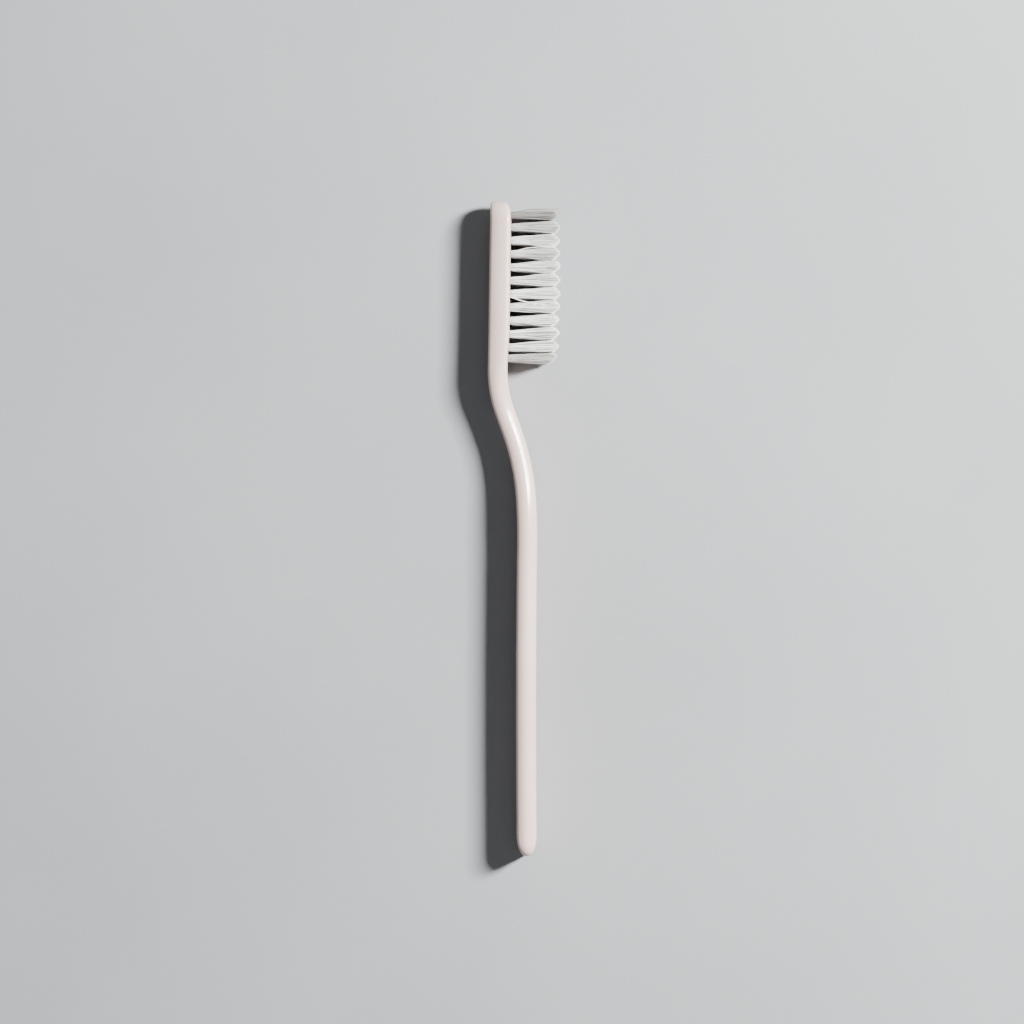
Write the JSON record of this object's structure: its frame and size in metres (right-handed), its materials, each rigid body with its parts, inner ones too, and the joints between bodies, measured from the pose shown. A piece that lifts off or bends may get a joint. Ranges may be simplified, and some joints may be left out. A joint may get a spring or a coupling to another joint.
{
  "type": "manual toothbrush",
  "caption": "Plain manual toothbrush with an S-bent one-piece handle, a slim neck and bristle tufts trimmed in a zigzag, lying on its side.",
  "frame": {"origin": "on the flat side that the brush lies on, under the grip's centreline where the slightly bowed grip runs along Y", "axes": "+X the way the bristles point, +Y along the handle towards the toe, +Z across the brush and up as it lies"},
  "size_m": [0.0186, 0.1649, 0.012],
  "materials": {
    "handle": "smooth pinkish white plastic with a soft gloss",
    "bristles": "translucent white nylon filaments",
    "anchors": "bare cut wire"
  },
  "bodies": {
    "root": {"handle": "handle", "tuft_01_1": "bristles", "tuft_01_2": "bristles", "tuft_01_3": "bristles", "tuft_02_1": "bristles", "tuft_02_2": "bristles", "tuft_02_3": "bristles", "tuft_02_4": "bristles", "tuft_03_1": "bristles", "tuft_03_2": "bristles", "tuft_03_3": "bristles", "tuft_03_4": "bristles", "tuft_04_1": "bristles", "tuft_04_2": "bristles", "tuft_04_3": "bristles", "tuft_04_4": "bristles", "tuft_05_1": "bristles", "tuft_05_2": "bristles", "tuft_05_3": "bristles", "tuft_05_4": "bristles", "tuft_06_1": "bristles", "tuft_06_2": "bristles", "tuft_06_3": "bristles", "tuft_06_4": "bristles", "tuft_07_1": "bristles", "tuft_07_2": "bristles", "tuft_07_3": "bristles", "tuft_07_4": "bristles", "tuft_08_1": "bristles", "tuft_08_2": "bristles", "tuft_08_3": "bristles", "tuft_08_4": "bristles", "tuft_09_1": "bristles", "tuft_09_2": "bristles", "tuft_09_3": "bristles", "tuft_09_4": "bristles", "tuft_10_1": "bristles", "tuft_10_2": "bristles", "tuft_10_3": "bristles", "tuft_10_4": "bristles", "tuft_11_1": "bristles", "tuft_11_2": "bristles", "tuft_11_3": "bristles", "tuft_11_4": "bristles", "tuft_12_1": "bristles", "tuft_12_2": "bristles", "tuft_12_3": "bristles", "anchors_01": "anchors", "anchors_02": "anchors", "anchors_03": "anchors", "anchors_04": "anchors", "anchors_05": "anchors", "anchors_06": "anchors", "anchors_07": "anchors", "anchors_08": "anchors", "anchors_09": "anchors", "anchors_10": "anchors", "anchors_11": "anchors", "anchors_12": "anchors"}
  },
  "joints": []
}
